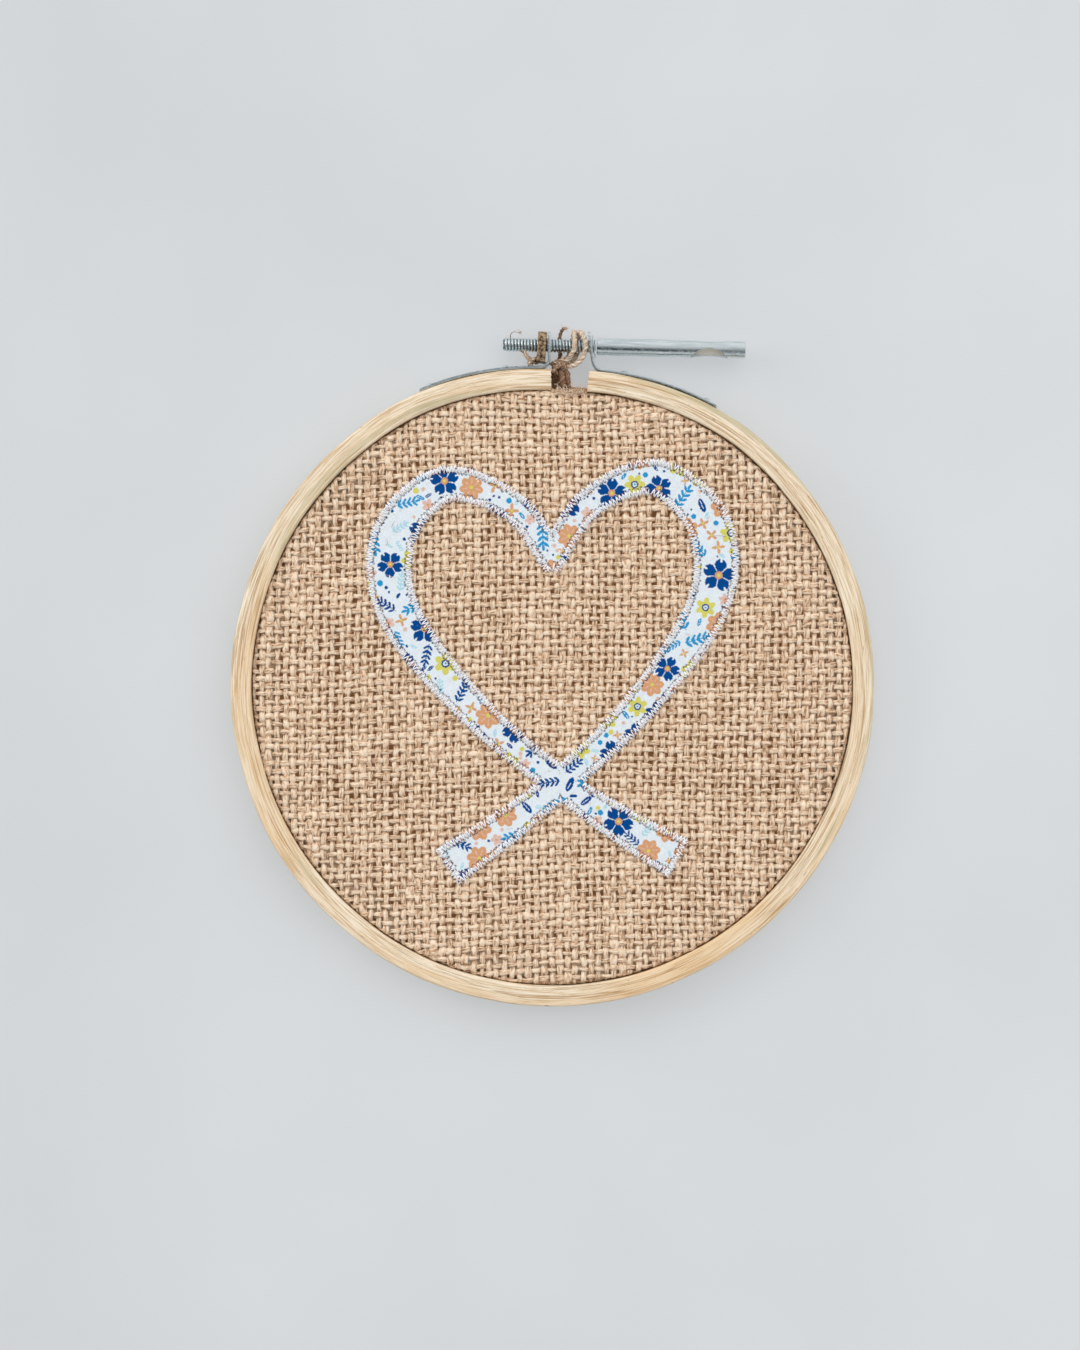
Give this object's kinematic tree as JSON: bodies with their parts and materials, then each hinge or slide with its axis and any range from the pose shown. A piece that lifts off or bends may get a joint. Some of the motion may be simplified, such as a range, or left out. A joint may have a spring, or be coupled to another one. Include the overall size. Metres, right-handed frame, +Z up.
{
  "type": "hoop embroidery art in a wooden screw hoop",
  "caption": "Burlap panel with a stitched-on floral cotton motif, stretched in a round wooden embroidery hoop that is tightened by a screw with a long barrel and hung by its top.",
  "frame": {"origin": "the hanging point, under the screw in the middle of the hoop's gap, at half the hoop's depth", "axes": "+Z up, -Y out of the front of the cloth, +X to the right as seen from the front, along the screw's barrel"},
  "size_m": [0.161, 0.0099, 0.1705],
  "materials": {
    "wood": "bare pale bamboo, fine grain along the ring",
    "burlap": "coarse plain weave of slubby jute",
    "cotton": "white cotton with a small floral print, zigzag edge stitching",
    "zinc": "bright zinc-plated steel",
    "nut": "speckled brown plated steel",
    "twine": "two-ply jute twine"
  },
  "bodies": {
    "root": {"outer_ring": "wood", "inner_ring": "wood", "burlap_panel": "burlap", "motif": "cotton", "strap_left": "zinc", "strap_right": "zinc", "nut_plate": "nut", "screw_rod": "zinc", "barrel": "zinc", "washer": "zinc", "tack_left_outer": "zinc", "tack_left_inner": "zinc", "tack_right_inner": "zinc", "tack_right_outer": "zinc", "twine_knot": "twine", "twine_loop_left": "twine", "twine_loop_right": "twine", "twine_end_up": "twine", "twine_end_left": "twine", "twine_tuck_left": "twine", "twine_tuck_right": "twine"}
  },
  "joints": []
}
